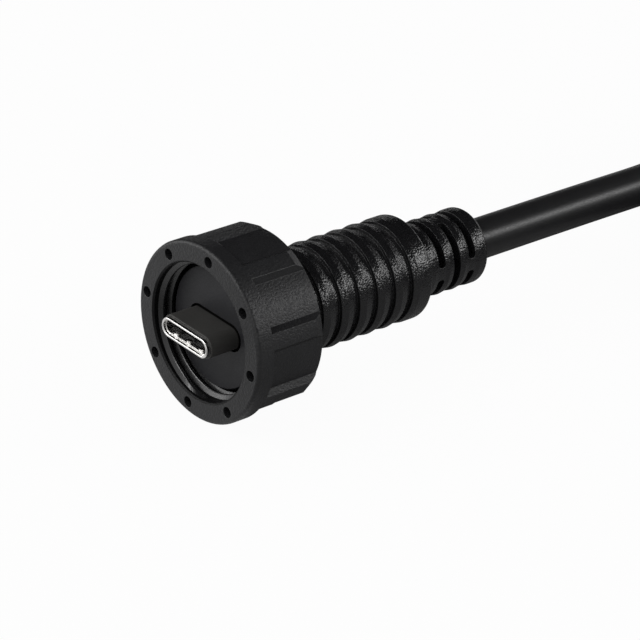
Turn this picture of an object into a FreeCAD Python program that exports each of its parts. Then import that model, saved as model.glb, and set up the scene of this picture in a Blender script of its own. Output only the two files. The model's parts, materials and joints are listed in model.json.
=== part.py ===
import FreeCAD, Part
import math
import os
import Sketcher
from types import SimpleNamespace

# Sealed panel cable: a USB-C plug inside a captive coupling nut, a ribbed grip moulded in one with a
# slotted strain relief, and a round cable that ends in an ordinary USB-C plug.
#
# Every piece of the connector is drawn about its own X axis, which is the axis of the plug. x = 0 is
# the front face of the coupling nut and +X runs toward the cable. The placements then stand the
# connector on the floor, with the origin under the middle of its length.

DEG = math.pi / 180

# Sizes in millimetres, angles in degrees
TABLE = [
    ("fit", 0.02, "clearance between nested pieces"),
    ("shell_tip", -2.0, "tip of the plug's shell"),
    ("shell_wide", 8.25, "shell width"),
    ("shell_high", 2.4, "shell height"),
    ("shell_wall", 0.3, "sheet thickness of the shell"),
    ("shell_lip", 0.12, "rounding of the shell's rim"),
    ("shell_tail", 1.5, "shell past the stem's foot"),
    ("stem_front", -1.4, "front end of the stem sleeve"),
    ("stem_wall", 0.2, "stem sleeve round the shell"),
    ("foot_step", 0.575, "foot of the sleeve past the stem"),
    ("foot_thick", 1.0, "foot behind the seat disc"),
    ("seat_front", 2.5, "seat disc, front face"),
    ("seat_thick", 1.5, "seat disc thickness"),
    ("seat_edge", 0.15, "bevel of its rim"),
    ("seat_lip", 0.65, "seat disc past the nut's rear bore"),
    ("seat_gap", 0.3, "joint gap round the stem"),
    ("seat_gap_depth", 0.5, "depth of that gap"),
    ("nut_length", 10.0, "front face to rear rim"),
    ("nut_turn", 7.0, "turn of the nut about its axis"),
    ("nut_edge", 0.45, "rounding of the front edge"),
    ("nut_collar", 2.2, "smooth collar in front of the panels"),
    ("nut_wall", 2.6, "from the thread's root to the ribs"),
    ("nut_chamfer", 0.2, "chamfer of the mouth"),
    ("nut_bore_gap", 0.9, "seat disc to the thread's root"),
    ("nut_bore_past", 0.3, "threaded bore past the seat disc"),
    ("nut_rear_gap", 0.3, "running gap round the grip"),
    ("nut_bevel", 1.4, "length of the bevel at the ribs' rear ends"),
    ("panel_depth", 0.75, "recess between the grip ribs"),
    ("panel_half", 14.1, "half angle of a panel's floor"),
    ("rib_half", 5.0, "half angle of a rib's top"),
    ("face_hole", 1.35, "diameter of the blind holes in the face"),
    ("face_hole_inset", 1.35, "their middle from the outside"),
    ("face_hole_depth", 1.6, "their depth"),
    ("housing_front", -0.6, "front of the contact housing"),
    ("housing_tail", 1.0, "housing past the shell"),
    ("slot_side", 0.675, "shell's side to the tongue slot"),
    ("slot_roof", 0.75, "shell's roof to the tongue slot"),
    ("slot_end", 4.4, "bottom of the tongue slot"),
    ("contact_count", 12, "contacts in a row"),
    ("contact_side", 0.7, "slot's side to the middle of the outer contacts"),
    ("contact_wide", 0.22, "contact width"),
    ("contact_thick", 0.18, "contact thickness"),
    ("contact_front", 0.2, "front end of the contacts"),
    ("contact_tail", 0.8, "contacts past the housing"),
    ("comb_front", 5.0, "front of the strip that joins a row"),
    ("comb_rear", 5.5, "rear of that strip"),
    ("spring_thick", 0.1, "spring plate thickness"),
    ("spring_inset", 0.5, "shell's tip to the spring plate"),
    ("spring_pad_radius", 0.35, "spring pad radius"),
    ("spring_pad_high", 0.2, "rise of a spring pad"),
    ("spring_side", 0.305, "outer pads to the end of the shell's flat wall"),
    ("spring_margin", 0.25, "spring plate round its pads"),
    ("latch_thick", 0.12, "latch spring thickness"),
    ("latch_front", 0.2, "housing's front to the latch spring"),
    ("latch_reach", 0.42, "latch hook from the slot's side"),
    ("latch_ramp", 0.9, "slope in front of the hook"),
    ("latch_hook", 0.4, "hook length"),
    ("latch_back", 1.1, "slope behind the hook"),
    ("latch_gap", 0.15, "gap above and below a latch spring"),
    ("card_length", 11.0, "circuit card length"),
    ("card_gap", 0.35, "gap beside the card"),
    ("card_thick", 0.8, "card thickness"),
    ("card_notch", 3.5, "length of the corner notches"),
    ("card_notch_deep", 0.8, "their depth"),
    ("chip_step", 3.5, "card's front to the marker chip"),
    ("chip_long", 2.2, "chip length and width"),
    ("chip_high", 0.6, "chip height"),
    ("can_side", 0.325, "cans past the shell's side"),
    ("can_roof", 0.8, "cans past the shell's roof"),
    ("can_tail", 1.5, "cans past the card"),
    ("can_wall", 0.2, "can sheet thickness"),
    ("wire_radius", 0.45, "insulated wire radius"),
    ("wire_spread", 1.2, "wires from the middle"),
    ("wire_lap", 1.5, "wires' lap on the card"),
    ("mould_wall", 0.45, "inner mould past the foot"),
    ("mould_tail", 4.0, "inner mould past the cans"),
    ("ferrule_step", 1.5, "cans to the crimp ferrule"),
    ("ferrule_tail", 2.0, "ferrule past the inner mould"),
    ("ferrule_wall", 0.33, "ferrule wall"),
    ("grip_wall", 1.1, "grip round the inner mould"),
    ("grip_tail", 4.35, "ferrule to the rear face of the grip flange"),
    ("grip_edge", 0.5, "rounding of the flange and of the boot's end"),
    ("groove_step", 2.95, "nut to the middle of the first grip groove"),
    ("groove_pitch", 2.78, "pitch of the grip grooves"),
    ("groove_count", 6, "number of grip grooves"),
    ("groove_wide", 0.95, "groove width"),
    ("groove_deep", 0.6, "groove depth"),
    ("rib_crown", 0.17, "fall of a rib from its middle to its lips"),
    ("boot_wall", 2.15, "strain relief round the cable"),
    ("boot_length", 10.55, "strain relief length"),
    ("boot_crown", 0.1, "fall of a boot ring toward its slots"),
    ("slit_step", 3.1, "flange to the middle of the first row of slits"),
    ("slit_last", 2.61, "middle of the last row to the boot's end"),
    ("slit_wide", 1.06, "slit width"),
    ("slit_wall", 0.7, "wall left under the slits"),
    ("slit_angle", 160.0, "angle that one slit spans"),
    ("slit_end", 0.42, "rounding of a slit's ends"),
    ("cable_radius", 2.6, "cable radius"),
    ("run_first", 19.5, "boot to the first bend point"),
    ("run_second", 36.5, "boot to the second bend point"),
    ("coil_ahead", 61.5, "boot to the coil's centre"),
    ("coil_inner", 23.4, "inner turns, radius of the cable's middle"),
    ("coil_turns_high", 3, "turns one above another"),
    ("floor_gap", 0.02, "the coil's rest above the floor"),
    ("tail_bend", 6.0, "tail's bend point past the coil"),
    ("tail_end", 19.5, "tail's end past the coil"),
    ("far_front", 4.65, "front face of the far plug's overmould"),
    ("far_length", 20.0, "overmould length"),
    ("far_side", 1.05, "overmould past the cans' side"),
    ("far_boot_wall", 0.45, "far strain relief round the cable"),
    ("far_boot_length", 8.0, "far strain relief length"),
    ("far_ring_step", 1.6, "overmould to the first ring"),
    ("far_ring_pitch", 2.2, "pitch of the rings"),
    ("far_ring_long", 1.2, "ring length"),
    ("far_ring_rise", 0.2, "ring height"),
    ("far_gap", 0.05, "the far plug's rest above the floor"),
]


class Size:
    """A size with its number and its formula in the sheet, so that sums keep both."""

    def __init__(self, value, formula):
        self.value = float(value)
        self.formula = formula

    def joined(self, other, sign, value):
        return Size(value, "(%s %s %s)" % (self.formula, sign, other.formula))

    def __add__(self, other):
        other = as_size(other)
        return self.joined(other, "+", self.value + other.value)

    def __radd__(self, other):
        return as_size(other) + self

    def __sub__(self, other):
        other = as_size(other)
        return self.joined(other, "-", self.value - other.value)

    def __rsub__(self, other):
        return as_size(other) - self

    def __mul__(self, other):
        other = as_size(other)
        return self.joined(other, "*", self.value * other.value)

    def __rmul__(self, other):
        return as_size(other) * self

    def __truediv__(self, other):
        other = as_size(other)
        return self.joined(other, "/", self.value / other.value)

    def __neg__(self):
        return as_size(0) - self


def as_size(thing):
    return thing if isinstance(thing, Size) else Size(thing, "%.6g" % thing)


def sine(angle):
    return Size(math.sin(angle.value * DEG), "sin(%s * 1 deg)" % angle.formula)


def cosine(angle):
    return Size(math.cos(angle.value * DEG), "cos(%s * 1 deg)" % angle.formula)


def fill_sheet(doc):
    """The spreadsheet of driving sizes, and a namespace of the same names."""
    sheet = doc.addObject("Spreadsheet::Sheet", "Sizes")
    names = SimpleNamespace()
    for row, (name, value, meaning) in enumerate(TABLE, start=1):
        sheet.set("A%d" % row, name)
        sheet.set("B%d" % row, repr(value))
        sheet.set("C%d" % row, meaning)
        sheet.setAlias("B%d" % row, name)
        setattr(names, name, Size(value, "Sizes." + name))
    doc.recompute()
    return names


def follow(d):
    """Sizes that follow from the sheet's, each by a named wall, gap or step."""
    # Sizes across the axis, from the plug outward
    d.stem_wide = d.shell_wide + 2 * d.stem_wall
    d.stem_high = d.shell_high + 2 * d.stem_wall
    d.foot_wide = d.stem_wide + 2 * d.foot_step
    d.foot_high = d.stem_high + 2 * d.foot_step
    d.slot_wide = d.shell_wide - 2 * d.slot_side
    d.slot_high = d.shell_high - 2 * d.slot_roof
    d.contact_lift = d.slot_high / 2 - d.fit
    d.contact_pitch = (d.slot_wide - 2 * d.contact_side) / (d.contact_count - 1)
    d.spring_pad_pitch = (d.shell_wide - d.shell_high) / 2 - d.spring_pad_radius - d.spring_side
    d.can_wide = d.shell_wide + 2 * d.can_side
    d.can_high = d.shell_high + 2 * d.can_roof
    d.card_wide = d.can_wide - 2 * (d.can_wall + d.card_gap)
    d.mould_radius = d.foot_wide / 2 + d.mould_wall
    d.grip_radius = d.mould_radius + d.grip_wall
    d.seat_radius = d.grip_radius + d.nut_rear_gap + d.seat_lip
    d.nut_bore = d.seat_radius + d.nut_bore_gap
    d.nut_mouth = d.nut_bore + d.nut_chamfer
    d.nut_radius = d.nut_bore + d.nut_wall
    d.face_hole_circle = d.nut_radius - d.face_hole_inset
    d.boot_radius = d.cable_radius + d.boot_wall
    d.slit_floor = d.cable_radius + d.slit_wall
    d.far_boot_radius = d.cable_radius + d.far_boot_wall
    d.far_wide = d.can_wide + 2 * d.far_side
    d.far_high = 2 * (d.far_boot_radius + d.far_gap)
    # Places along the axis, from the seat disc rearward
    d.seat_rear = d.seat_front + d.seat_thick
    d.nut_bore_depth = d.seat_rear + d.nut_bore_past
    d.foot_rear = d.seat_rear + d.foot_thick
    d.shell_rear = d.foot_rear + d.shell_tail
    d.housing_rear = d.shell_rear + d.housing_tail
    d.card_rear = d.housing_rear + d.card_length
    d.can_front = d.foot_rear + 3 * d.fit
    d.can_rear = d.card_rear + d.can_tail
    d.mould_rear = d.can_rear + d.mould_tail
    d.ferrule_front = d.can_rear + d.ferrule_step
    d.ferrule_rear = d.mould_rear + d.ferrule_tail
    d.groove_first = d.nut_length + d.groove_step
    d.grip_rear = d.ferrule_rear + d.grip_tail
    d.slit_first = d.grip_rear + d.slit_step
    d.slit_pitch = (d.boot_length - d.slit_step - d.slit_last) / 2
    d.boot_rear = d.grip_rear + d.boot_length
    d.far_rear = d.far_front + d.far_length
    d.far_boot_rear = d.far_rear + d.far_boot_length
    # The cable's route: the coil's near side lines up with the nut's
    d.straight_mid = d.boot_rear + d.run_first
    d.straight_end = d.boot_rear + d.run_second
    d.coil_x = d.boot_rear + d.coil_ahead
    d.coil_y = d.nut_radius - d.coil_inner - 3 * d.cable_radius


doc = FreeCAD.newDocument("SealedCable")
d = fill_sheet(doc)
follow(d)
finished = []


# Sketches and features


def new_body(label):
    body = doc.addObject("PartDesign::Body", label)
    body.Label = label
    finished.append(body)
    return body


def origin_item(body, role):
    return next(item for item in body.Origin.OriginFeatures if item.Role == role)


def sketch_on(body, role, offset=None):
    sketch = body.newObject("Sketcher::SketchObject", body.Label + "_sketch")
    sketch.AttachmentSupport = (origin_item(body, role), "")
    sketch.MapMode = "FlatFace"
    if offset is not None:
        offset = as_size(offset)
        sketch.AttachmentOffset = FreeCAD.Placement(FreeCAD.Vector(0, 0, offset.value), FreeCAD.Rotation())
        sketch.setExpression(".AttachmentOffset.Base.z", offset.formula)
    return sketch


def bind(sketch, kind, geometry, point, size):
    """Hold one coordinate of a point to a size."""
    size = as_size(size)
    index = sketch.addConstraint(Sketcher.Constraint(kind, -1, 1, geometry, point, size.value))
    sketch.setExpression("Constraints[%d]" % index, size.formula)


def centre_arc(start, end, centre):
    """The shorter arc from start to end about centre, as geometry, and whether it runs backward."""
    a0 = math.atan2(start.y - centre.y, start.x - centre.x)
    a1 = math.atan2(end.y - centre.y, end.x - centre.x)
    backward = (a1 - a0) % (2 * math.pi) > math.pi + 1e-9
    circle = Part.Circle(centre, FreeCAD.Vector(0, 0, 1), (start - centre).Length)
    if backward:
        a0, a1 = a1, a0
    return Part.ArcOfCircle(circle, a0, a1 if a1 > a0 else a1 + 2 * math.pi), backward


def loop(sketch, corners, arcs=()):
    """A closed outline through the corners. arcs names the sides that are arcs, by the corner each
    starts at, with the arc's centre and the coordinate of it that is held."""
    arcs = dict(arcs)
    flat = [FreeCAD.Vector(as_size(x).value, as_size(y).value, 0) for x, y in corners]
    ends = []
    for i, start in enumerate(flat):
        end = flat[(i + 1) % len(flat)]
        if i not in arcs:
            number = sketch.addGeometry(Part.LineSegment(start, end), False)
            ends.append((number, 1, 2))
            continue
        (cx, cy), held = arcs[i]
        centre = FreeCAD.Vector(as_size(cx).value, as_size(cy).value, 0)
        shape, backward = centre_arc(start, end, centre)
        number = sketch.addGeometry(shape, False)
        ends.append((number, 2, 1) if backward else (number, 1, 2))
        kind, size = ("DistanceX", cx) if held == "x" else ("DistanceY", cy)
        bind(sketch, kind, number, 3, size)
    for i, (number, first, last) in enumerate(ends):
        after, start, _ = ends[(i + 1) % len(ends)]
        sketch.addConstraint(Sketcher.Constraint("Coincident", number, last, after, start))
    for (number, first, _), (x, y) in zip(ends, corners):
        bind(sketch, "DistanceX", number, first, x)
        bind(sketch, "DistanceY", number, first, y)


def circle(sketch, x, y, radius):
    x, y, radius = as_size(x), as_size(y), as_size(radius)
    where = FreeCAD.Vector(x.value, y.value, 0)
    number = sketch.addGeometry(Part.Circle(where, FreeCAD.Vector(0, 0, 1), radius.value), False)
    bind(sketch, "DistanceX", number, 3, x)
    bind(sketch, "DistanceY", number, 3, y)
    index = sketch.addConstraint(Sketcher.Constraint("Radius", number, radius.value))
    sketch.setExpression("Constraints[%d]" % index, radius.formula)


def racetrack(sketch, wide, high):
    """Two straight sides and two half rounds, centred on the axis."""
    end = (wide - high) / 2
    half = high / 2
    corners = [(-end, half), (-end, -half), (end, -half), (end, half)]
    loop(sketch, corners, {0: ((-end, 0), "x"), 2: ((end, 0), "x")})


def rectangle(sketch, left, right, low, high):
    loop(sketch, [(left, low), (right, low), (right, high), (left, high)])


def pad(body, sketch, length, both_ways=False):
    feature = body.newObject("PartDesign::Pad", body.Label + "_pad")
    feature.Profile = sketch
    length = as_size(length)
    feature.Length = length.value
    feature.setExpression("Length", length.formula)
    feature.Midplane = both_ways
    return feature


def pocket(body, sketch, depth, along_normal=True):
    feature = body.newObject("PartDesign::Pocket", body.Label + "_pocket")
    feature.Profile = sketch
    depth = as_size(depth)
    feature.Length = depth.value
    feature.setExpression("Length", depth.formula)
    feature.Reversed = along_normal
    return feature


def turned(body, sketch, kind="Revolution", axis="H_Axis", angle=360.0, midplane=False):
    feature = body.newObject("PartDesign::" + kind, body.Label + "_" + kind.lower())
    feature.Profile = sketch
    feature.ReferenceAxis = (sketch, [axis])
    angle = as_size(angle)
    feature.Angle = angle.value
    feature.setExpression("Angle", angle.formula)
    feature.Midplane = midplane
    return feature


def around(body, feature, count):
    """The feature repeated evenly round the X axis."""
    pattern = body.newObject("PartDesign::PolarPattern", body.Label + "_ring")
    pattern.Originals = [feature]
    pattern.Axis = (origin_item(body, "X_Axis"), [""])
    pattern.Angle = 360
    pattern.Occurrences = count
    body.Tip = pattern
    return pattern


def along(body, features, role, pitch, count):
    """The features repeated along one of the body's axes."""
    pattern = body.newObject("PartDesign::LinearPattern", body.Label + "_row")
    pattern.Originals = features
    pattern.Direction = (origin_item(body, role), [""])
    count = as_size(count)
    steps = (count - 1) * pitch
    pattern.Length = steps.value
    pattern.setExpression("Length", steps.formula)
    pattern.Occurrences = int(count.value)
    body.Tip = pattern
    return pattern


def round_edges(body, names, radius):
    base = body.Tip
    fillet = body.newObject("PartDesign::Fillet", body.Label + "_round")
    fillet.Base = (base, names)
    fillet.Radius = radius.value
    fillet.setExpression("Radius", radius.formula)
    body.Tip = fillet


def lathe(body, corners, arcs=()):
    """A body turned about X from an outline of x and radius."""
    sketch = sketch_on(body, "XY_Plane")
    loop(sketch, corners, arcs)
    return turned(body, sketch)


# Coupling nut


def coupling_nut():
    body = new_body("coupling_nut")
    r, length, edge = d.nut_radius, d.nut_length, d.nut_edge
    rear_bore = d.grip_radius + d.nut_rear_gap
    floor = r - d.panel_depth
    lathe(
        body,
        [
            (0, d.nut_mouth),
            (0, r - edge),
            (edge, r),
            (length - d.nut_bevel, r),
            (length - d.nut_rear_gap, floor + 0.25),
            (length, floor - 0.15),
            (length, rear_bore + d.nut_rear_gap),
            (length - d.nut_rear_gap, rear_bore),
            (d.nut_bore_depth, rear_bore),
            (d.nut_bore_depth, d.nut_bore),
            (d.nut_chamfer, d.nut_bore),
        ],
        {1: ((edge, r - edge), "x")},
    )
    # Eight wide panels sunk between narrow ribs with sloping walls, open at the rear
    side = 22.5 - d.rib_half
    foot = (floor * sine(d.panel_half), floor * cosine(d.panel_half))
    lip = (r * sine(side), r * cosine(side))
    out = tuple(a + 2.5 * (b - a) for a, b in zip(foot, lip))
    panel = sketch_on(body, "YZ_Plane", d.nut_collar)
    corners = [foot, out, (-out[0], out[1]), (-foot[0], foot[1])]
    loop(panel, corners, {3: ((0, 0), "y")})
    around(body, pocket(body, panel, length), 8)
    # Blind holes in the face, one over each panel
    hole = sketch_on(body, "YZ_Plane")
    circle(hole, 0, d.face_hole_circle, d.face_hole / 2)
    around(body, pocket(body, hole, d.face_hole_depth), 8)
    return body


# Plug: pieces that both ends of the cable share


def plug_shell(name):
    body = new_body(name)
    outside = sketch_on(body, "YZ_Plane", d.shell_tip)
    racetrack(outside, d.shell_wide, d.shell_high)
    pad(body, outside, d.shell_rear - d.shell_tip)
    inside = sketch_on(body, "YZ_Plane", d.shell_tip)
    racetrack(inside, d.shell_wide - 2 * d.shell_wall, d.shell_high - 2 * d.shell_wall)
    pocket(body, inside, d.shell_rear - d.shell_tip + 1)
    doc.recompute()
    rim = [
        "Edge%d" % number
        for number, edge in enumerate(body.Tip.Shape.Edges, start=1)
        if abs(edge.BoundBox.XMax - d.shell_tip.value) < 1e-4
    ]
    round_edges(body, rim, d.shell_lip)
    return body


def plug_housing(name):
    body = new_body(name)
    inset = 2 * (d.shell_wall + d.fit)
    block = sketch_on(body, "YZ_Plane", d.housing_front)
    racetrack(block, d.shell_wide - inset, d.shell_high - inset)
    pad(body, block, d.housing_rear - d.housing_front)
    slot = sketch_on(body, "YZ_Plane", d.housing_front)
    rectangle(slot, -d.slot_wide / 2, d.slot_wide / 2, -d.slot_high / 2, d.slot_high / 2)
    pocket(body, slot, d.slot_end - d.housing_front)
    # One channel for each contact, and a cross channel for the strip that joins a row
    low = d.contact_lift - d.fit
    high = d.contact_lift + d.contact_thick + d.fit
    first = -(d.contact_count - 1) / 2 * d.contact_pitch
    half = d.contact_wide / 2 + d.fit
    channels = []
    for under, over in ((low, high), (-high, -low)):
        sketch = sketch_on(body, "YZ_Plane", 0)
        rectangle(sketch, first - half, first + half, under, over)
        channels.append(pocket(body, sketch, d.housing_rear + 1))
    along(body, channels, "Y_Axis", d.contact_pitch, d.contact_count)
    for under, over in ((low, high), (-high, -low)):
        sketch = sketch_on(body, "YZ_Plane", d.comb_front - d.fit)
        rectangle(sketch, first - half, -first + half, under, over)
        pocket(body, sketch, d.comb_rear - d.comb_front + 2 * d.fit)
    return body


def contact_row(name, upper):
    """Twelve flat contacts held by a cross strip inside the housing."""
    body = new_body(name)
    low, high = d.contact_lift, d.contact_lift + d.contact_thick
    if not upper:
        low, high = -high, -low
    first = -(d.contact_count - 1) / 2 * d.contact_pitch
    half = d.contact_wide / 2
    strip = sketch_on(body, "YZ_Plane", d.comb_front)
    rectangle(strip, first - half, -first + half, low, high)
    pad(body, strip, d.comb_rear - d.comb_front)
    blade = sketch_on(body, "YZ_Plane", d.contact_front)
    rectangle(blade, first - half, first + half, low, high)
    length = d.housing_rear + d.contact_tail - d.contact_front
    along(body, [pad(body, blade, length)], "Y_Axis", d.contact_pitch, d.contact_count)
    return body


def ground_spring(name, upper):
    """A plate inside the mouth of the shell, with three round pads that stand into the mouth."""
    body = new_body(name)
    wall = d.shell_high / 2 - d.shell_wall - d.fit
    under, over = (wall - d.spring_thick, wall) if upper else (-wall, d.spring_thick - wall)
    front = d.shell_tip + d.spring_inset
    plate = sketch_on(body, "YZ_Plane", front)
    half = d.spring_pad_pitch + d.spring_pad_radius + d.spring_margin
    rectangle(plate, -half, half, under, over)
    pad(body, plate, d.housing_front - d.fit - front)
    raised = sketch_on(body, "XY_Plane", under - d.spring_pad_high if upper else over)
    circle(raised, front + d.spring_pad_radius + d.fit, -d.spring_pad_pitch, d.spring_pad_radius)
    along(body, [pad(body, raised, d.spring_pad_high)], "Y_Axis", d.spring_pad_pitch, 3)
    return body


def latch_spring(name, side):
    """A side strip in the tongue slot, bent inward near its front end."""
    body = new_body(name)
    outer = d.slot_wide / 2 - d.fit
    inner = outer - d.latch_thick
    hook = outer - d.latch_reach
    sketch = sketch_on(body, "XY_Plane")
    front = d.housing_front + d.latch_front
    rear = d.slot_end - d.fit
    ramp = front + d.latch_ramp
    flat = ramp + d.latch_hook
    corners = [
        (front, outer),
        (front, inner),
        (ramp, hook),
        (flat, hook),
        (flat + d.latch_back, inner),
        (rear, inner),
        (rear, outer),
    ]
    loop(sketch, [(x, side * y) for x, y in corners])
    pad(body, sketch, d.slot_high - 2 * d.latch_gap, both_ways=True)
    return body


def circuit_card(name):
    body = new_body(name)
    front = d.housing_rear + d.fit
    sketch = sketch_on(body, "XY_Plane")
    half = d.card_wide / 2
    notch, deep = d.card_rear - d.card_notch, d.card_notch_deep
    corners = [
        (front, -half),
        (notch, -half),
        (notch + deep, deep - half),
        (d.card_rear, deep - half),
        (d.card_rear, half - deep),
        (notch + deep, half - deep),
        (notch, half),
        (front, half),
    ]
    loop(sketch, corners)
    pad(body, sketch, d.card_thick, both_ways=True)
    return body


def shield_can(name, upper):
    """Half of the folded sheet box round the card: a roof and two sides."""
    body = new_body(name)
    sign = 1 if upper else -1
    half, top, wall = d.can_wide / 2, d.can_high / 2, d.can_wall
    corners = [
        (-half, d.fit),
        (-half, top),
        (half, top),
        (half, d.fit),
        (half - wall, d.fit),
        (half - wall, top - wall),
        (wall - half, top - wall),
        (wall - half, d.fit),
    ]
    sketch = sketch_on(body, "YZ_Plane", d.can_front)
    loop(sketch, [(y, sign * z) for y, z in corners])
    pad(body, sketch, d.can_rear - d.can_front)
    return body


def plug_core(prefix):
    """The pieces of one plug, in order from the mouth to the card."""
    return [
        plug_shell(prefix + "shell"),
        plug_housing(prefix + "housing"),
        contact_row(prefix + "upper_contacts", True),
        contact_row(prefix + "lower_contacts", False),
        ground_spring(prefix + "upper_spring", True),
        ground_spring(prefix + "lower_spring", False),
        latch_spring(prefix + "left_latch", 1),
        latch_spring(prefix + "right_latch", -1),
        circuit_card(prefix + "card"),
        shield_can(prefix + "upper_can", True),
        shield_can(prefix + "lower_can", False),
    ]


# Sealed connector


def stem_sleeve():
    body = new_body("stem_sleeve")
    outside = sketch_on(body, "YZ_Plane", d.stem_front)
    racetrack(outside, d.stem_wide, d.stem_high)
    pad(body, outside, d.foot_rear - d.stem_front)
    foot = sketch_on(body, "YZ_Plane", d.seat_rear + d.fit)
    racetrack(foot, d.foot_wide, d.foot_high)
    pad(body, foot, d.foot_rear - d.seat_rear - d.fit)
    bore = sketch_on(body, "YZ_Plane", d.stem_front)
    racetrack(bore, d.shell_wide + 2 * d.fit, d.shell_high + 2 * d.fit)
    pocket(body, bore, d.foot_rear - d.stem_front + 1)
    return body


def seat_disc():
    """The flat disc that the mating socket closes on, with a joint gap round the stem."""
    body = new_body("seat_disc")
    front, rear, r = d.seat_front, d.seat_rear, d.seat_radius
    lathe(
        body,
        [(front, 0), (front, r - d.seat_edge), (front + d.seat_edge, r), (rear, r), (rear, 0)],
    )
    wide, high = d.stem_wide, d.stem_high
    hole = sketch_on(body, "YZ_Plane", front)
    racetrack(hole, wide + 2 * d.fit, high + 2 * d.fit)
    pocket(body, hole, rear - front + 1)
    gap = sketch_on(body, "YZ_Plane", front)
    racetrack(gap, wide + 2 * d.seat_gap, high + 2 * d.seat_gap)
    pocket(body, gap, d.seat_gap_depth)
    return body


def inner_mould():
    """The hard inner block that holds the foot, the cans and the cable's end."""
    body = new_body("inner_mould")
    front = d.seat_rear + d.fit
    rear = d.mould_rear - d.fit
    disc = sketch_on(body, "YZ_Plane", front)
    circle(disc, 0, 0, d.mould_radius)
    pad(body, disc, rear - front)
    foot = sketch_on(body, "YZ_Plane", front)
    racetrack(foot, d.foot_wide + 2 * d.fit, d.foot_high + 2 * d.fit)
    pocket(body, foot, d.foot_rear + d.fit - front)
    cans = sketch_on(body, "YZ_Plane", front)
    half, top = d.can_wide / 2 + d.fit, d.can_high / 2 + d.fit
    rectangle(cans, -half, half, -top, top)
    pocket(body, cans, d.can_rear + 0.5 - front)
    bore = sketch_on(body, "YZ_Plane", d.can_rear)
    circle(bore, 0, 0, d.cable_radius + d.ferrule_wall + 2 * d.fit)
    pocket(body, bore, d.mould_rear)
    return body


def wires():
    """Four insulated wires from the card's rear end to the cable."""
    made = []
    places = (("wire_power", 1, 1), ("wire_ground", -1, 1), ("wire_data_a", 1, -1), ("wire_data_b", -1, -1))
    height = d.card_thick / 2 + d.wire_radius + d.fit
    for name, left, above in places:
        body = new_body(name)
        sketch = sketch_on(body, "YZ_Plane", d.card_rear - d.wire_lap)
        circle(sketch, left * d.wire_spread, above * height, d.wire_radius)
        pad(body, sketch, d.mould_rear - d.card_rear + d.wire_lap)
        made.append(body)
    return made


def marker_chip():
    body = new_body("marker_chip")
    sketch = sketch_on(body, "XY_Plane", d.card_thick / 2 + d.fit)
    front, half = d.housing_rear + d.chip_step, d.chip_long / 2
    rectangle(sketch, front, front + d.chip_long, -half, half)
    pad(body, sketch, d.chip_high)
    return body


def crimp_ferrule():
    body = new_body("crimp_ferrule")
    inner = d.cable_radius + d.fit
    outer = inner + d.ferrule_wall
    front, rear = d.ferrule_front, d.ferrule_rear
    lathe(body, [(front, inner), (front, outer), (rear, outer), (rear, inner)])
    return body


def jacket_root(name, front, rear):
    """The cable's end inside its strain relief."""
    body = new_body(name)
    sketch = sketch_on(body, "YZ_Plane", front)
    circle(sketch, 0, 0, d.cable_radius)
    pad(body, sketch, rear - front)
    return body


def round_slit_ends(body):
    """Round the short edges that run outward at the ends of the slits."""
    floor, skin = d.slit_floor.value, d.boot_radius.value
    names = []
    for number, edge in enumerate(body.Tip.Shape.Edges, start=1):
        if len(edge.Vertexes) != 2 or edge.Curve.TypeId != "Part::GeomLine":
            continue
        a, b = (v.Point for v in edge.Vertexes)
        reach = sorted(math.hypot(p.y, p.z) for p in (a, b))
        if abs(a.x - b.x) < 1e-4 and abs(reach[0] - floor) < 0.02 and abs(reach[1] - skin) < 0.3:
            names.append("Edge%d" % number)
    round_edges(body, names, d.slit_end)
    print("slit end edges rounded:", len(names))


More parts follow.
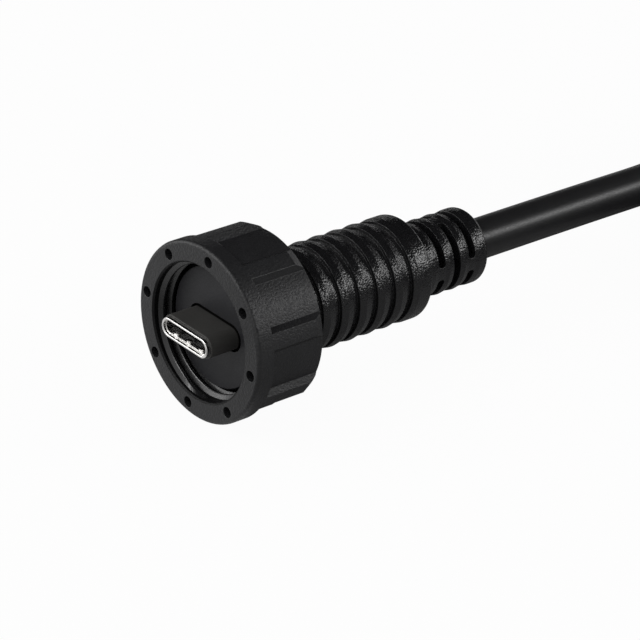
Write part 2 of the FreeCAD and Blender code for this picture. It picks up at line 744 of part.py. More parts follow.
def grip_overmould():
    """Grip and slotted strain relief, one soft moulding."""
    body = new_body("grip_overmould")
    r, boot, edge = d.grip_radius, d.boot_radius, d.grip_edge
    front = d.seat_rear + d.fit
    crimp = d.cable_radius + d.ferrule_wall + 2 * d.fit
    lip = boot - d.boot_crown
    half = d.slit_wide / 2 + 0.06
    rows = [d.slit_first + n * d.slit_pitch for n in range(3)]
    crest = [row + d.slit_pitch / 2 for row in rows]
    outline = [
        (front, d.mould_radius + d.fit),
        (front, r),
        (d.grip_rear - edge, r),
        (d.grip_rear, r - edge),
        (d.grip_rear, boot),
        (rows[0] - d.slit_pitch / 2, boot),
        (rows[0] - half, lip),
        (rows[0] + half, lip),
        (crest[0], boot),
        (rows[1] - half, lip),
        (rows[1] + half, lip),
        (crest[1], boot),
        (rows[2] - half, lip),
        (rows[2] + half, lip),
        (crest[2], boot),
        (d.boot_rear - edge, boot),
        (d.boot_rear, boot - edge),
        (d.boot_rear, d.cable_radius + d.fit),
        (d.ferrule_rear + d.fit, d.cable_radius + d.fit),
        (d.ferrule_rear + d.fit, crimp),
        (d.mould_rear, crimp),
        (d.mould_rear, d.mould_radius + d.fit),
    ]
    arcs = {
        2: ((d.grip_rear - edge, r - edge), "x"),
        15: ((d.boot_rear - edge, boot - edge), "x"),
    }
    lathe(body, outline, arcs)
    # Grooves of the grip. Each cut also lowers the lips, so that every rib keeps a crease along its middle
    middle, half = d.groove_first, d.groove_wide / 2
    reach = d.groove_pitch / 2
    cut = sketch_on(body, "XY_Plane")
    loop(
        cut,
        [
            (middle - reach, r + 1),
            (middle - reach, r),
            (middle - half, r - d.rib_crown),
            (middle - half, r - d.groove_deep),
            (middle + half, r - d.groove_deep),
            (middle + half, r - d.rib_crown),
            (middle + reach, r),
            (middle + reach, r + 1),
        ],
    )
    grooves = turned(body, cut, "Groove")
    along(body, [grooves], "X_Axis", d.groove_pitch, d.groove_count)
    # Slits of the strain relief: rows one and three open up and down, row two opens sideways
    half = d.slit_wide / 2
    upright = sketch_on(body, "XZ_Plane")
    rectangle(upright, rows[0] - half, rows[0] + half, d.slit_floor, boot + 1)
    pair = turned(body, upright, "Groove", angle=d.slit_angle, midplane=True)
    lower = sketch_on(body, "XZ_Plane")
    rectangle(lower, rows[0] - half, rows[0] + half, -boot - 1, -d.slit_floor)
    under = turned(body, lower, "Groove", angle=d.slit_angle, midplane=True)
    along(body, [pair, under], "X_Axis", 2 * d.slit_pitch, 2)
    for low, high in ((d.slit_floor, boot + 1), (-boot - 1, -d.slit_floor)):
        sideways = sketch_on(body, "XY_Plane")
        rectangle(sideways, rows[1] - half, rows[1] + half, low, high)
        turned(body, sideways, "Groove", angle=d.slit_angle, midplane=True)
    doc.recompute()
    round_slit_ends(body)
    return body


# Far plug


def far_overmould():
    body = new_body("far_overmould")
    block = sketch_on(body, "YZ_Plane", d.far_front)
    racetrack(block, d.far_wide, d.far_high)
    pad(body, block, d.far_rear - d.far_front)
    neck = sketch_on(body, "YZ_Plane", d.far_rear - 1)
    circle(neck, 0, 0, d.far_boot_radius - d.far_ring_rise)
    pad(body, neck, d.far_boot_rear - d.far_rear + 1)
    # Rings of the far strain relief
    ring = sketch_on(body, "YZ_Plane", d.far_rear + d.far_ring_step)
    circle(ring, 0, 0, d.far_boot_radius)
    along(body, [pad(body, ring, d.far_ring_long)], "X_Axis", d.far_ring_pitch, 3)
    cavity = sketch_on(body, "YZ_Plane", d.far_front)
    half, top = d.can_wide / 2 + d.fit, d.can_high / 2 + d.fit
    rectangle(cavity, -half, half, -top, top)
    pocket(body, cavity, d.can_rear + d.fit - d.far_front)
    bore = sketch_on(body, "YZ_Plane", d.can_rear)
    circle(bore, 0, 0, d.cable_radius + d.fit)
    pocket(body, bore, d.far_boot_rear)
    return body


# Cable


def rounded_path(points):
    """Straight runs joined by tangent arcs, each as large as its two runs allow."""
    edges, radii = [], []
    last = points[0]
    for before, corner, after in zip(points, points[1:], points[2:]):
        into = (corner - before).normalize()
        out = (after - corner).normalize()
        turn = into.getAngle(out)
        back = 0.45 * min((corner - before).Length, (after - corner).Length)
        radius = back / math.tan(turn / 2)
        start, end = corner - into * back, corner + out * back
        inward = (out - into).normalize()
        centre = corner + inward * (radius / math.cos(turn / 2))
        middle = centre - inward * radius
        edges.append(Part.LineSegment(last, start).toShape())
        edges.append(Part.Arc(start, middle, end).toShape())
        radii.append(radius)
        last = end
    edges.append(Part.LineSegment(last, points[-1]).toShape())
    return Part.Wire(edges), radii


def cable_tube(name, points):
    """A plain round tube along a route."""
    path, radii = rounded_path(points)
    radius = d.cable_radius.value
    ring = Part.Wire(Part.Circle(points[0], points[1] - points[0], radius).toShape())
    tube = path.makePipeShell([ring], True, True)
    expected = math.pi * radius * radius * path.Length
    print("%s: length %.1f, bend radii %s" % (name, path.Length, ["%.0f" % x for x in radii]))
    if abs(tube.Volume / expected - 1) > 0.01:
        raise ValueError("%s has volume %.1f, not %.1f" % (name, tube.Volume, expected))
    feature = doc.addObject("Part::Feature", name)
    feature.Label = name
    feature.Shape = tube
    finished.append(feature)
    return feature


def on_coil(radius, clockwise, height):
    """A point of the coil, by its angle clockwise from +Y and its height above the floor."""
    angle = clockwise * DEG
    x = d.coil_x.value + radius * math.sin(angle)
    y = d.coil_y.value + radius * math.cos(angle)
    return FreeCAD.Vector(x, y, height - d.nut_radius.value)


def cable_coil():
    """The outer shape of the coil: two turns wide and three turns high."""
    body = new_body("cable_coil")
    r = d.cable_radius
    inside = d.coil_inner - r
    outside = inside + 4 * r
    top = 2 * r * d.coil_turns_high
    corners = [
        (inside, r),
        (inside + r, 0),
        (outside - r, 0),
        (outside, r),
        (outside, top - r),
        (outside - r, top),
        (inside + r, top),
        (inside, top - r),
    ]
    arcs = {
        0: ((inside + r, r), "x"),
        2: ((outside - r, r), "x"),
        4: ((outside - r, top - r), "x"),
        6: ((inside + r, top - r), "x"),
    }
    sketch = sketch_on(body, "XZ_Plane")
    loop(sketch, corners, arcs)
    turned(body, sketch, axis="V_Axis")
    return body


nut = coupling_nut()
connector = [stem_sleeve(), seat_disc(), inner_mould(), crimp_ferrule(), grip_overmould()]
connector += plug_core("plug_") + wires() + [marker_chip()]
connector.append(jacket_root("jacket_root", d.mould_rear, d.boot_rear))
far_plug = plug_core("far_") + [far_overmould()]
far_plug.append(jacket_root("far_jacket_root", d.can_rear + 0.5, d.far_boot_rear))
coil = cable_coil()

# Heights of the cable's middle above the floor: the bottom and middle layers, and the far plug
thick = 2 * d.cable_radius.value
bottom_layer = d.floor_gap.value + thick / 2
middle_layer = bottom_layer + thick
plug_height = d.far_high.value / 2 + d.far_gap.value
outer_turn = d.coil_inner.value + thick
axis_height = d.nut_radius.value

# The cable leaves the boot straight, then swings down onto an outer turn of the coil
run_points = [
    FreeCAD.Vector(d.boot_rear.value, 0, 0),
    FreeCAD.Vector(d.straight_mid.value, 0, 0),
    FreeCAD.Vector(d.straight_end.value, 0, -0.2),
    on_coil(outer_turn, -23.5, middle_layer),
]
run = cable_tube("cable_run", run_points)

# The lowest outer turn runs off along the floor to the far plug
leave = on_coil(outer_turn, 180, plug_height)
tail_points = [
    on_coil(outer_turn, 165, bottom_layer),
    leave + FreeCAD.Vector(-d.tail_bend.value, -0.3, 0),
    leave + FreeCAD.Vector(-d.tail_end.value, 0.3, 0),
]
tail = cable_tube("cable_tail", tail_points)

# Placements
middle = (d.boot_rear.value + d.shell_tip.value) / 2
stand = FreeCAD.Vector(-middle, 0, axis_height)
for piece in connector + [run, tail]:
    piece.Placement = FreeCAD.Placement(stand, FreeCAD.Rotation())
nut.Placement = FreeCAD.Placement(stand, FreeCAD.Rotation(FreeCAD.Vector(1, 0, 0), d.nut_turn.value))
coil_place = FreeCAD.Vector(d.coil_x.value - middle, d.coil_y.value, d.floor_gap.value)
coil.Placement = FreeCAD.Placement(coil_place, FreeCAD.Rotation())
heading = tail_points[-2] - tail_points[-1]
swing = FreeCAD.Rotation(FreeCAD.Vector(1, 0, 0), heading)
plug_place = tail_points[-1] + stand - swing.multVec(FreeCAD.Vector(d.far_boot_rear.value, 0, 0))
for piece in far_plug:
    piece.Placement = FreeCAD.Placement(plug_place, swing)

doc.recompute()

# Nothing is written unless every feature worked and every cut removed material
for item in doc.Objects:
    if "Invalid" in item.State or "Error" in item.State:
        raise RuntimeError("%s failed: %s" % (item.Name, item.State))
    if item.TypeId in ("PartDesign::Pocket", "PartDesign::Groove"):
        if item.Shape.Volume > item.BaseFeature.Shape.Volume - 1e-4:
            raise RuntimeError("%s cuts nothing" % item.Name)

os.makedirs("parts", exist_ok=True)
total = 0.0
for piece in finished:
    shape = piece.Shape
    if shape.isNull() or not shape.isValid() or len(shape.Solids) != 1:
        raise RuntimeError("%s has a bad shape, with %d solids" % (piece.Label, len(shape.Solids)))
    shape.exportStep("parts/%s.step" % piece.Label)
    total += shape.Volume
    box = shape.BoundBox
    span = (box.XMin, box.XMax, box.YMin, box.YMax, box.ZMin, box.ZMax)
    print("%-22s %9.2f mm3  %s" % (piece.Label, shape.Volume, " ".join("%.2f" % v for v in span)))
print("%d pieces, %.0f mm3" % (len(finished), total))
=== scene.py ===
import json
import math

import bmesh
import bpy
from mathutils import Matrix, Vector


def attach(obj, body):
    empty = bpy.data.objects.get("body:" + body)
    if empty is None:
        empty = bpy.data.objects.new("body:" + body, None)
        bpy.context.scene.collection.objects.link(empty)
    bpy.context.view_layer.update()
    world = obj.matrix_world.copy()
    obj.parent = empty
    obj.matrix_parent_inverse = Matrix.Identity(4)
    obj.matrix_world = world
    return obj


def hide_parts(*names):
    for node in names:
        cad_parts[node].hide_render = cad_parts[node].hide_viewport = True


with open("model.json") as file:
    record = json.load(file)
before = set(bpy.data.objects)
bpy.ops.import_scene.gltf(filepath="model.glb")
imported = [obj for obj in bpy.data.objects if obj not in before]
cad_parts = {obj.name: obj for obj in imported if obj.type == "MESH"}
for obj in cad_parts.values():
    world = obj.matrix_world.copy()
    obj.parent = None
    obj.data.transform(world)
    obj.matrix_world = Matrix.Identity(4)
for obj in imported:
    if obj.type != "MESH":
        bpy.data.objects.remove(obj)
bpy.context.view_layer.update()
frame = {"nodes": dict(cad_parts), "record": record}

# The scene is in metres and the sizes below are in millimetres. The connector's axis runs along +X,
# 10.9 mm above the floor, and its pieces are measured from the front face of the coupling nut,
# which lies 19.45 mm on the -X side of the origin.
MM = 0.001
AXIS_HEIGHT = 10.9
FACE = -19.45


def at(x, y, z):
    """A point given in millimetres from the nut's front face and the axis."""
    return Vector(((x + FACE) * MM, y * MM, (z + AXIS_HEIGHT) * MM))


# Camera

PICTURE_WIDTH = 640
FOCAL_LENGTH = 2955.2


def make_camera():
    """The camera fitted to the photograph. Its focal length is in pixels and its angles are in degrees."""
    azimuth, height, roll = (math.radians(v) for v in (-42.45, 28.005, 4.238))
    distance, shift_x, shift_y = 334.38, 13.825, 1.504
    ahead = Vector((-math.sin(azimuth), math.cos(azimuth), 0))
    right = Vector((math.cos(azimuth), math.sin(azimuth), 0))
    up = ahead * math.sin(height) + Vector((0, 0, math.cos(height)))
    back = right.cross(up)
    turned_right = right * math.cos(roll) + up * math.sin(roll)
    turned_up = up * math.cos(roll) - right * math.sin(roll)
    place = turned_right * shift_x + turned_up * shift_y + back * distance
    data = bpy.data.cameras.new("camera")
    data.sensor_width = 36
    data.lens = FOCAL_LENGTH / PICTURE_WIDTH * data.sensor_width
    data.clip_start, data.clip_end = 0.02, 5
    camera = bpy.data.objects.new("camera", data)
    matrix = Matrix((turned_right, turned_up, back)).transposed().to_4x4()
    matrix.translation = at(*place)
    camera.matrix_world = matrix
    bpy.context.scene.collection.objects.link(camera)
    bpy.context.scene.camera = camera


make_camera()

# Cable

CABLE_RADIUS = 2.6
BOOT_END = 40.9
COIL = (102.4, -20.3)
COIL_START, COIL_END = -23.5, 1965
OUTER_TURN, INNER_TURN = 28.6, 23.4
LAYERS = (2.62, 7.82, 13.02)
PLUG_HEIGHT = 3.15


def on_coil(radius, clockwise, height):
    """A point of the coil. The angle is in degrees from +Y and the height is above the floor."""
    angle = math.radians(clockwise)
    return (COIL[0] + radius * math.sin(angle), COIL[1] + radius * math.cos(angle), height - AXIS_HEIGHT)


def blended(stations, angle):
    """Radius and height at an angle of the coil, straight between the stations."""
    for (a0, r0, h0), (a1, r1, h1) in zip(stations, stations[1:]):
        if a0 <= angle <= a1:
            share = (angle - a0) / (a1 - a0)
            return r0 + (r1 - r0) * share, h0 + (h1 - h0) * share
    return stations[-1][1:]


def cable_route():
    """Straight out of the strain relief, six turns round the coil and straight into the far plug."""
    low, middle, top = LAYERS
    # Angle, radius and height where a stretch of even turns begins or ends
    stations = [
        (COIL_START, OUTER_TURN, middle),
        (272, OUTER_TURN, middle),
        (325, OUTER_TURN, top),
        (600, OUTER_TURN, top),
        (668, INNER_TURN, top),
        (925, INNER_TURN, top),
        (988, INNER_TURN, middle),
        (1285, INNER_TURN, middle),
        (1348, INNER_TURN, low),
        (1610, INNER_TURN, low),
        (1678, OUTER_TURN, low),
        (COIL_END, OUTER_TURN, low),
    ]
    # The curve runs a little inside its points, so they stand wider than the turns
    steps, widening = 83, 1.008
    tail_start, tail_end, sway = 6, 19.5, 0.3
    route = [(BOOT_END, 0, 0), (60.4, 0, 0), (77.4, 0, -0.2)]
    for n in range(steps + 1):
        angle = COIL_START + (COIL_END - COIL_START) * n / steps
        radius, height = blended(stations, angle)
        route.append(on_coil(radius * widening, angle, height))
    x, y, z = on_coil(OUTER_TURN, 180, PLUG_HEIGHT)
    return route + [(x - tail_start, y - sway, z), (x - tail_end, y + sway, z)]


def make_cable():
    """One round tube along the route, in place of the three plain solids."""
    route = cable_route()
    data = bpy.data.curves.new("cable", "CURVE")
    data.dimensions = "3D"
    spline = data.splines.new("NURBS")
    spline.points.add(len(route) - 1)
    for point, place in zip(spline.points, route):
        point.co = (*at(*place), 1)
        point.radius = CABLE_RADIUS * MM
    spline.order_u = 3
    spline.use_endpoint_u = True
    spline.resolution_u = 8
    data.bevel_depth = 1.0
    data.bevel_resolution = 6
    cable = bpy.data.objects.new("cable", data)
    bpy.context.scene.collection.objects.link(cable)
    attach(cable, "connector")
    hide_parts("cable_run", "cable_coil", "cable_tail")
    return cable


cable = make_cable()

# Materials


def node_material(name, colour, roughness, metallic=0.0):
    material = bpy.data.materials.new(name)
    material.use_nodes = True
    tree = material.node_tree
    shader = tree.nodes["Principled BSDF"]
    shader.inputs["Base Color"].default_value = (*colour, 1)
    shader.inputs["Roughness"].default_value = roughness
    shader.inputs["Metallic"].default_value = metallic
    return material, tree, shader


def in_millimetres(tree):
    """Object coordinates in millimetres."""
    coords = tree.nodes.new("ShaderNodeTexCoord")
    mapping = tree.nodes.new("ShaderNodeMapping")
    mapping.inputs["Scale"].default_value = (1 / MM, 1 / MM, 1 / MM)
    tree.links.new(coords.outputs["Object"], mapping.inputs["Vector"])
    return mapping.outputs["Vector"]


def noise(tree, vector, scale, detail=3.0):
    node = tree.nodes.new("ShaderNodeTexNoise")
    node.inputs["Scale"].default_value = scale
    node.inputs["Detail"].default_value = detail
    node.inputs["Roughness"].default_value = 0.5
    tree.links.new(vector, node.inputs["Vector"])
    return node.outputs["Fac"]


def spread(tree, value, low, high, to_low, to_high):
    """The value's range from low to high stretched to the second range, and held at its ends."""
    node = tree.nodes.new("ShaderNodeMapRange")
    node.inputs["From Min"].default_value = low
    node.inputs["From Max"].default_value = high
    node.inputs["To Min"].default_value = to_low
    node.inputs["To Max"].default_value = to_high
    tree.links.new(value, node.inputs["Value"])
    return node.outputs["Result"]


def tint(tree, value, low, high, dark, light):
    """A colour that runs from dark to light as the value goes from low to high."""
    node = tree.nodes.new("ShaderNodeValToRGB")
    ramp = node.color_ramp
    ramp.elements[0].position, ramp.elements[1].position = low, high
    ramp.elements[0].color, ramp.elements[1].color = (*dark, 1), (*light, 1)
    tree.links.new(value, node.inputs["Fac"])
    return node.outputs["Color"]


def bump(tree, shader, height, strength, distance, edge=0.0, edge_roughness=None):
    """Relief over softly rounded edges, which are smoother than the rest where edge_roughness is given."""
    on_flat, on_round, grain_on_edge = 0.98, 0.9, 0.15
    node = tree.nodes.new("ShaderNodeBump")
    node.inputs["Strength"].default_value = strength
    node.inputs["Distance"].default_value = distance
    tree.links.new(height, node.inputs["Height"])
    if edge:
        soft = tree.nodes.new("ShaderNodeBevel")
        soft.samples = 12
        soft.inputs["Radius"].default_value = edge
        tree.links.new(soft.outputs["Normal"], node.inputs["Normal"])
    if edge_roughness:
        surface = tree.nodes.new("ShaderNodeNewGeometry")
        turned = tree.nodes.new("ShaderNodeVectorMath")
        turned.operation = "DOT_PRODUCT"
        tree.links.new(soft.outputs["Normal"], turned.inputs[0])
        tree.links.new(surface.outputs["Normal"], turned.inputs[1])
        on_edge = spread(tree, turned.outputs["Value"], on_flat, on_round, 0, 1)
        worn = spread(tree, on_edge, 0, 1, strength, grain_on_edge * strength)
        tree.links.new(worn, node.inputs["Strength"])
        mixed = tree.nodes.new("ShaderNodeMix")
        tree.links.new(on_edge, mixed.inputs["Factor"])
        tree.links.new(shader.inputs["Roughness"].links[0].from_socket, mixed.inputs["A"])
        mixed.inputs["B"].default_value = edge_roughness
        tree.links.new(mixed.outputs["Result"], shader.inputs["Roughness"])
    tree.links.new(node.outputs["Normal"], shader.inputs["Normal"])


def along_axis(tree, start, end):
    """1 before start and 0 past end, measured in millimetres from the nut's front face."""
    split = tree.nodes.new("ShaderNodeSeparateXYZ")
    tree.links.new(in_millimetres(tree), split.inputs[0])
    return spread(tree, split.outputs["X"], start + FACE, end + FACE, 1, 0)


def off_axis(tree, start, end):
    """0 within start and 1 beyond end, measured in millimetres from the connector's axis."""
    flat = tree.nodes.new("ShaderNodeVectorMath")
    flat.operation = "MULTIPLY_ADD"
    flat.inputs[1].default_value = (0, 1, 1)
    flat.inputs[2].default_value = (0, 0, -AXIS_HEIGHT)
    tree.links.new(in_millimetres(tree), flat.inputs[0])
    length = tree.nodes.new("ShaderNodeVectorMath")
    length.operation = "LENGTH"
    tree.links.new(flat.outputs["Vector"], length.inputs[0])
    return spread(tree, length.outputs["Value"], start, end, 0, 1)


def paint_shade(tree, shader, share, gloss, least):
    """Painted shade: colour and gloss scaled down to the least share of themselves where share is 0."""
    level = spread(tree, share, 0, 1, least, 1)
    scaled = tree.nodes.new("ShaderNodeVectorMath")
    scaled.operation = "SCALE"
    tree.links.new(shader.inputs["Base Color"].links[0].from_socket, scaled.inputs[0])
    tree.links.new(level, scaled.inputs["Scale"])
    tree.links.new(scaled.outputs["Vector"], shader.inputs["Base Color"])
    tree.links.new(spread(tree, share, 0, 1, least * gloss, gloss), shader.inputs["Specular IOR Level"])


def moulded(
    name, dark, light, roughness, grain, depth,
    edge=0.0, gloss=0.35, shade_past_depth=None, shade_within_radius=None, edge_roughness=None,
):
    """Moulded plastic with a fine spark-eroded grain. Past a given depth, as on the walls of the joint round
    the stem, and within a given radius, as in the nut's mouth, it is darker in colour and gloss: painted
    shade for the joint and the mouth."""
    depth_shade_blend, depth_shade_least, radius_shade_blend, radius_shade_least = 0.04, 0.1, 0.03, 0.35
    material, tree, shader = node_material(name, dark, roughness)
    shader.inputs["Specular IOR Level"].default_value = gloss
    vector = in_millimetres(tree)
    fine = noise(tree, vector, grain, 1.0)
    broad = noise(tree, vector, 0.35, 2.0)
    tree.links.new(tint(tree, broad, 0.35, 0.7, dark, light), shader.inputs["Base Color"])
    # Painted shade: colour and gloss darker in the joint round the stem and in the nut's mouth
    if shade_past_depth:
        paint_shade(tree, shader, along_axis(tree, shade_past_depth - depth_shade_blend, shade_past_depth + depth_shade_blend), gloss, depth_shade_least)
    if shade_within_radius:
        paint_shade(tree, shader, off_axis(tree, shade_within_radius - radius_shade_blend, shade_within_radius + radius_shade_blend), gloss, radius_shade_least)
    polish = spread(tree, fine, 0.3, 0.7, roughness - 0.06, roughness + 0.08)
    tree.links.new(polish, shader.inputs["Roughness"])
    bump(tree, shader, fine, 0.6, depth, edge, edge_roughness)
    return material


def leather_grain(name, dark, light, roughness):
    """Soft overmoulding with a pebbled leather grain: rounded cells, with half as much finer grain."""
    cells_per_mm, fine_per_mm, fine_share = 4.4, 5.5, 0.5
    depth, edge, edge_roughness = 0.042 * MM, 0.1 * MM, 0.12
    material, tree, shader = node_material(name, dark, roughness)
    shader.inputs["Specular IOR Level"].default_value = 0.5
    vector = in_millimetres(tree)
    cells = tree.nodes.new("ShaderNodeTexVoronoi")
    cells.feature = "SMOOTH_F1"
    cells.inputs["Scale"].default_value = cells_per_mm
    cells.inputs["Smoothness"].default_value = 0.35
    tree.links.new(vector, cells.inputs["Vector"])
    fine = noise(tree, vector, fine_per_mm, 1.0)
    pebbles = tree.nodes.new("ShaderNodeMath")
    pebbles.operation = "SUBTRACT"
    pebbles.inputs[0].default_value = 1.0
    tree.links.new(cells.outputs["Distance"], pebbles.inputs[1])
    grain = tree.nodes.new("ShaderNodeMath")
    grain.operation = "MULTIPLY_ADD"
    grain.inputs[1].default_value = fine_share
    tree.links.new(fine, grain.inputs[0])
    tree.links.new(pebbles.outputs[0], grain.inputs[2])
    # Painted shade: the crevices between the pebbles darker, their crowns lighter
    shade = tint(tree, cells.outputs["Distance"], 0.1, 0.7, light, dark)
    tree.links.new(shade, shader.inputs["Base Color"])
    polish = spread(tree, fine, 0.3, 0.7, roughness - 0.05, roughness + 0.1)
    tree.links.new(polish, shader.inputs["Roughness"])
    bump(tree, shader, grain.outputs[0], 0.9, depth, edge, edge_roughness)
    return material


def metal(name, colour, roughness, edge=0.0):
    """Drawn or plated metal, a little uneven in colour and polish."""
    material, tree, shader = node_material(name, colour, roughness, 1.0)
    vector = in_millimetres(tree)
    fine = noise(tree, vector, 3.0)
    dark = tuple(c * 0.8 for c in colour)
    tree.links.new(tint(tree, fine, 0.3, 0.65, dark, colour), shader.inputs["Base Color"])
    polish = spread(tree, fine, 0.3, 0.7, roughness * 0.7, roughness * 1.3)
    tree.links.new(polish, shader.inputs["Roughness"])
    bump(tree, shader, fine, 0.15, 0.01 * MM, edge)
    return material


nut_plastic = moulded(
    "nut_plastic",
    dark=(0.0075, 0.0075, 0.0083),
    light=(0.009, 0.009, 0.01),
    roughness=0.46,
    grain=4.2,
    depth=0.1 * MM,
    edge=0.1 * MM,
    gloss=0.4,
    # Painted shade within this radius, in the nut's mouth
    shade_within_radius=8.52,
    edge_roughness=0.2,
)
# A darker copy of the nut's plastic for the thread ridges: painted shade inside the nut's mouth
thread_plastic_painted_shade = moulded(
    "thread_plastic_painted_shade",
    dark=(0.005, 0.005, 0.0055),
    light=(0.006, 0.006, 0.0065),
    roughness=0.28,
    grain=6.0,
    depth=0.003 * MM,
    gloss=0.5,
)
stem_plastic = moulded(
    "stem_plastic",
    dark=(0.031, 0.0302, 0.0285),
    light=(0.037, 0.036, 0.034),
    roughness=0.55,
    grain=7.0,
    depth=0.01 * MM,
    edge=0.08 * MM,
    # Painted shade past this depth, on the walls of the joint round the stem
    shade_past_depth=2.46,
)
# A darker copy of the stem's plastic for the seat disc: painted shade inside the nut's mouth
seat_plastic_painted_shade = moulded(
    "seat_plastic_painted_shade",
    dark=(0.0105, 0.0105, 0.012),
    light=(0.0135, 0.0135, 0.0155),
    roughness=0.48,
    grain=7.0,
    depth=0.01 * MM,
    edge=0.08 * MM,
    gloss=0.31,
    # Painted shade past this depth, on the walls of the joint round the stem
    shade_past_depth=2.6,
)
soft_overmould = leather_grain("soft_overmould", (0.0042, 0.0042, 0.0046), (0.0062, 0.0062, 0.0068), 0.2)
cable_jacket = moulded(
    "cable_jacket",
    dark=(0.0085, 0.0085, 0.009),
    light=(0.0095, 0.0095, 0.01),
    roughness=0.34,
    grain=5.0,
    depth=0.006 * MM,
    gloss=0.38,
)
far_plastic = moulded(
    "far_plastic",
    dark=(0.009, 0.009, 0.0095),
    light=(0.012, 0.012, 0.0125),
    roughness=0.42,
    grain=8.0,
    depth=0.015 * MM,
    edge=0.1 * MM,
)
contact_plastic = moulded(
    "contact_plastic",
    dark=(0.005, 0.005, 0.005),
    light=(0.007, 0.007, 0.007),
    roughness=0.4,
    grain=6.0,
    depth=0.005 * MM,
    gloss=0.12,
)
natural_plastic = moulded("natural_plastic", (0.62, 0.6, 0.54), (0.7, 0.68, 0.62), 0.5, 4.0, 0.01 * MM)
card_laminate = moulded("card_laminate", (0.02, 0.13, 0.06), (0.03, 0.17, 0.08), 0.3, 3.0, 0.005 * MM)
chip_epoxy = moulded("chip_epoxy", (0.02, 0.02, 0.02), (0.025, 0.025, 0.025), 0.5, 8.0, 0.005 * MM)
wire_red = moulded("wire_red", (0.5, 0.02, 0.02), (0.56, 0.03, 0.03), 0.35, 4.0, 0.004 * MM)
wire_black = moulded("wire_black", (0.02, 0.02, 0.02), (0.03, 0.03, 0.03), 0.35, 4.0, 0.004 * MM)
wire_green = moulded("wire_green", (0.03, 0.27, 0.07), (0.04, 0.32, 0.09), 0.35, 4.0, 0.004 * MM)
wire_white = moulded("wire_white", (0.72, 0.72, 0.7), (0.8, 0.8, 0.78), 0.35, 4.0, 0.004 * MM)
plated_steel = metal("plated_steel", (0.86, 0.85, 0.83), 0.14, edge=0.05 * MM)
spring_steel = metal("spring_steel", (0.88, 0.87, 0.85), 0.27, edge=0.05 * MM)
can_tin = metal("can_tin", (0.6, 0.6, 0.58), 0.3)
ferrule_metal = metal("ferrule_metal", (0.66, 0.66, 0.65), 0.28)
contact_gold = metal("contact_gold", (0.83, 0.6, 0.24), 0.2)

BY_SLOT = {
    "nut_plastic": nut_plastic,
    "stem_plastic": stem_plastic,
    "soft_overmould": soft_overmould,
    "cable_jacket": cable_jacket,
    "far_plastic": far_plastic,
    "contact_plastic": contact_plastic,
    "natural_plastic": natural_plastic,
    "card_laminate": card_laminate,
    "chip_epoxy": chip_epoxy,
    "wire_red": wire_red,
    "wire_black": wire_black,
    "wire_green": wire_green,
    "wire_white": wire_white,
    "plated_steel": plated_steel,
    "spring_steel": spring_steel,
    "can_tin": can_tin,
    "ferrule_metal": ferrule_metal,
    "contact_gold": contact_gold,
}


def dress_nodes():
    """Every carried-over solid gets the material of its slot, but the seat disc gets a darker copy of the
    stem's plastic: painted shade inside the nut's mouth.
    """
    for part in frame["record"]["subparts"]:
        node = frame["nodes"][part["node"]]
        material = BY_SLOT[part["material_slot"]]
        if part["node"] == "seat_disc":
            material = seat_plastic_painted_shade
        node.data.materials.clear()
        node.data.materials.append(material)


dress_nodes()
cable.data.materials.append(cable_jacket)

# Pieces made here


def piece_from(name, bm, material):
    """A new object in the scene, made of the finished shape."""
    mesh = bpy.data.meshes.new(name)
    bm.to_mesh(mesh)
    bm.free()
    piece = bpy.data.objects.new(name, mesh)
    bpy.context.scene.collection.objects.link(piece)
    mesh.materials.append(material)
    return piece


def make_thread():
    """Ridges of the internal thread: one profile swept round and along the axis, fading at both ends."""
    pitch, root, crest, turns, per_turn = 1.25, 8.34, 7.8, 2.3, 96
    foot, shoulder, land, shoulder_drop = 0.5, 0.2, 0.13, 0.07
    start, first = 0.9, math.radians(-100)
    fade_in, fade_out, least = 0.1, 0.2, 0.03
    steps = round(per_turn * turns)
    around = Vector((0, math.cos(first), math.sin(first)))
    flank = [(foot, root), (shoulder, crest + shoulder_drop), (land, crest)]
    outline = [(-along, radius) for along, radius in flank] + flank[::-1]
    bm = bmesh.new()
    profile = [bm.verts.new(at(start + along, 0, 0) + around * radius * MM) for along, radius in outline]
    for one, two in zip(profile, profile[1:] + profile[:1]):
        bm.edges.new((one, two))
    bmesh.ops.spin(
        bm,
        geom=profile + list(bm.edges),
        cent=at(0, 0, 0),
        axis=(1, 0, 0),
        dvec=(pitch * turns / steps * MM, 0, 0),
        angle=2 * math.pi * turns,
        steps=steps,
    )
    bmesh.ops.holes_fill(bm, edges=[edge for edge in bm.edges if edge.is_boundary], sides=len(outline))
    axis = at(start, 0, 0)
    for vert in bm.verts:
        out = Vector((0, vert.co.y, vert.co.z - axis.z))
        part = ((math.atan2(out.z, out.y) - first) / (2 * math.pi)) % 1
        turn = part + round((vert.co.x - axis.x) / (pitch * MM) - part)
        share = max(least, min(1, turn / fade_in, (turns - turn) / fade_out))
        radius = root * MM - (root * MM - out.length) * share
        place = out.normalized() * radius
        vert.co = (vert.co.x, place.y, place.z + axis.z)
    bmesh.ops.recalc_face_normals(bm, faces=bm.faces)
    thread = piece_from("nut_thread", bm, thread_plastic_painted_shade)
    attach(thread, "nut")


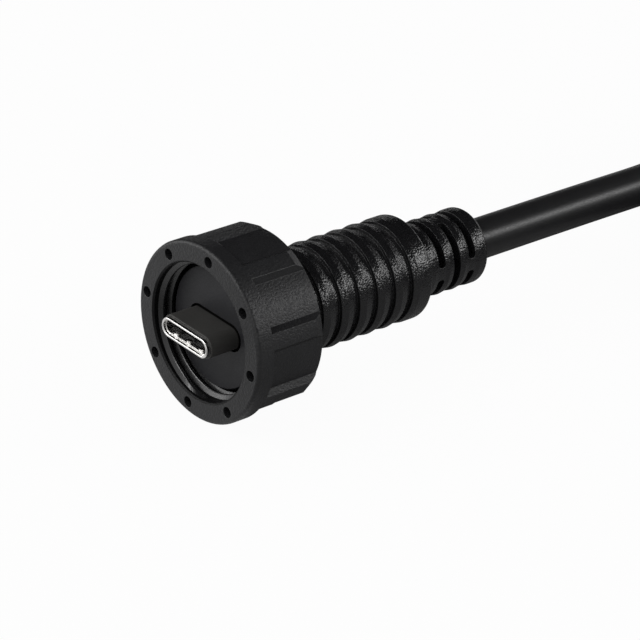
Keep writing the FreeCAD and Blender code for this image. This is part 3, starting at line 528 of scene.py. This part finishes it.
def make_lining():
    """The steel ring inside the mouth, which the spring pads stand out of."""
    half_flat, outer, inner, front, rear = 2.925, 0.893, 0.81, -1.6, -0.58
    segments = 36
    half_step = math.pi / segments
    bm = bmesh.new()
    upright = Matrix.Rotation(math.radians(90), 4, "Y") @ Matrix.Rotation(half_step, 4, "Z")
    bmesh.ops.create_circle(bm, cap_ends=True, segments=segments, radius=outer * MM, matrix=upright)
    for vert in bm.verts:
        vert.co += at(front, math.copysign(half_flat, vert.co.y), 0)
    disc = bm.faces[:]
    rim = bmesh.ops.inset_individual(bm, faces=disc, thickness=(outer - inner) * MM, use_even_offset=True)
    bmesh.ops.delete(bm, geom=disc, context="FACES_ONLY")
    walls = bmesh.ops.extrude_face_region(bm, geom=rim["faces"])
    moved = [item for item in walls["geom"] if isinstance(item, bmesh.types.BMVert)]
    bmesh.ops.translate(bm, verts=moved, vec=((rear - front) * MM, 0, 0))
    bmesh.ops.recalc_face_normals(bm, faces=bm.faces)
    lining = piece_from("plug_lining", bm, spring_steel)
    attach(lining, "connector")


make_thread()
make_lining()

# Floor, world and lights


def seen_rays(tree, in_gloss):
    """How far the background shows white: fully to the camera, and by in_gloss in glossy or clear pieces."""
    rays = tree.nodes.new("ShaderNodeLightPath")
    total = rays.outputs["Is Camera Ray"]
    for name in ("Is Glossy Ray", "Is Transmission Ray"):
        share = tree.nodes.new("ShaderNodeMath")
        share.operation = "MULTIPLY"
        share.inputs[1].default_value = in_gloss
        tree.links.new(rays.outputs[name], share.inputs[0])
        joined = tree.nodes.new("ShaderNodeMath")
        joined.operation = "MAXIMUM"
        tree.links.new(total, joined.inputs[0])
        tree.links.new(share.outputs[0], joined.inputs[1])
        total = joined.outputs[0]
    return total


def make_floor():
    """A grey floor that shows nearly white to the camera, less so in glosses, and keeps the shadow."""
    half_width, white, share_in_gloss = 1500, 0.96, 0.4
    bm = bmesh.new()
    bmesh.ops.create_grid(bm, x_segments=1, y_segments=1, size=half_width * MM)
    material, tree, shader = node_material("floor_white", (0.5, 0.5, 0.5), 0.9)
    glow = tree.nodes.new("ShaderNodeEmission")
    glow.inputs["Color"].default_value = (1, 1, 1, 1)
    share = tree.nodes.new("ShaderNodeMath")
    share.operation = "MULTIPLY"
    share.inputs[1].default_value = white
    mix = tree.nodes.new("ShaderNodeMixShader")
    tree.links.new(seen_rays(tree, share_in_gloss), share.inputs[0])
    tree.links.new(share.outputs[0], mix.inputs["Fac"])
    tree.links.new(shader.outputs[0], mix.inputs[1])
    tree.links.new(glow.outputs[0], mix.inputs[2])
    tree.links.new(mix.outputs[0], tree.nodes["Material Output"].inputs["Surface"])
    piece_from("floor", bm, material)


def make_hood():
    """A black card bent over the object, where glosses stay dark."""
    left, right = -150, 900
    bm = bmesh.new()
    ends = [bm.verts.new(at(x, -HOOD_RADIUS, 0)) for x in (left, right)]
    edge = bm.edges.new(ends)
    centre = at(0, 0, 0)
    lift = Matrix.Rotation(math.radians(-HOOD_FROM), 3, "X")
    bend = -math.radians(HOOD_TO - HOOD_FROM)
    bmesh.ops.rotate(bm, verts=ends, cent=centre, matrix=lift)
    bmesh.ops.spin(bm, geom=ends + [edge], cent=centre, axis=(1, 0, 0), angle=bend, steps=24)
    stage_card("hood", bm, 0.012)


def stage_card(name, bm, grey):
    """A matt card that only glosses see."""
    material, _, shader = node_material(name, (grey, grey, grey), 1.0)
    shader.inputs["Specular IOR Level"].default_value = 0.0
    card = piece_from(name, bm, material)
    card.visible_camera = False
    card.visible_diffuse = False
    card.visible_shadow = False
    card.visible_transmission = False


def make_floor_card(name, middle, height, turn, grey):
    """A square grey card on the floor, turned by degrees."""
    bm = bmesh.new()
    bmesh.ops.create_grid(bm, x_segments=1, y_segments=1, size=CARD_HALF_WIDTH * MM)
    bmesh.ops.rotate(bm, verts=bm.verts, matrix=Matrix.Rotation(math.radians(turn), 3, "Z"))
    bmesh.ops.translate(bm, verts=bm.verts, vec=at(*middle, height - AXIS_HEIGHT))
    stage_card(name, bm, grey)


def make_world():
    """A plain white world, at full strength where it is seen."""
    world = bpy.data.worlds.new("studio")
    bpy.context.scene.world = world
    world.use_nodes = True
    tree = world.node_tree
    background = tree.nodes["Background"]
    background.inputs["Color"].default_value = (1, 1, 1, 1)
    level = tree.nodes.new("ShaderNodeMapRange")
    level.inputs["To Min"].default_value = WORLD_LEVEL
    level.inputs["To Max"].default_value = 1.0
    tree.links.new(seen_rays(tree, 1.0), level.inputs["Value"])
    tree.links.new(level.outputs["Result"], background.inputs["Strength"])


def make_light(name, place, target, size, brightness):
    """A soft rectangular lamp, as bright to look at as its brightness says."""
    data = bpy.data.lights.new(name, "AREA")
    data.shape = "RECTANGLE"
    data.size, data.size_y = (v * MM for v in size)
    data.energy = brightness * math.pi * data.size * data.size_y
    light = bpy.data.objects.new(name, data)
    light.location = at(*place)
    aim = at(*target) - light.location
    light.rotation_mode = "QUATERNION"
    light.rotation_quaternion = aim.to_track_quat("-Z", "Y")
    bpy.context.scene.collection.objects.link(light)


# The hood's two lower edges are angles about the connector's axis, from the near side of the floor
HOOD_RADIUS, HOOD_FROM, HOOD_TO = 420, 1, 179
CARD_HALF_WIDTH = 450
WORLD_LEVEL = 0.75

make_floor()
make_hood()
make_floor_card("card_near", (453, -450), 0.2, 0, 0.24)
make_floor_card("card_back", (453, 450), 0.2, 0, 0.1)
make_floor_card("card_left", (-129, -537), 0.3, 132.5, 0.25)
make_world()
make_light("key", (240, -255, 165), (10, 0, 0), (300, 80), 7.3)
make_light("front", (-260, 90, 262), (0, 0, 0), (380, 55), 9.5)
make_light("left", (-190, 270, 60), (0, 0, 0), (300, 110), 2.5)
make_light("back", (300, 270, 30), (20, 0, 0), (360, 20), 1.6)

bpy.context.scene.view_settings.view_transform = "Standard"
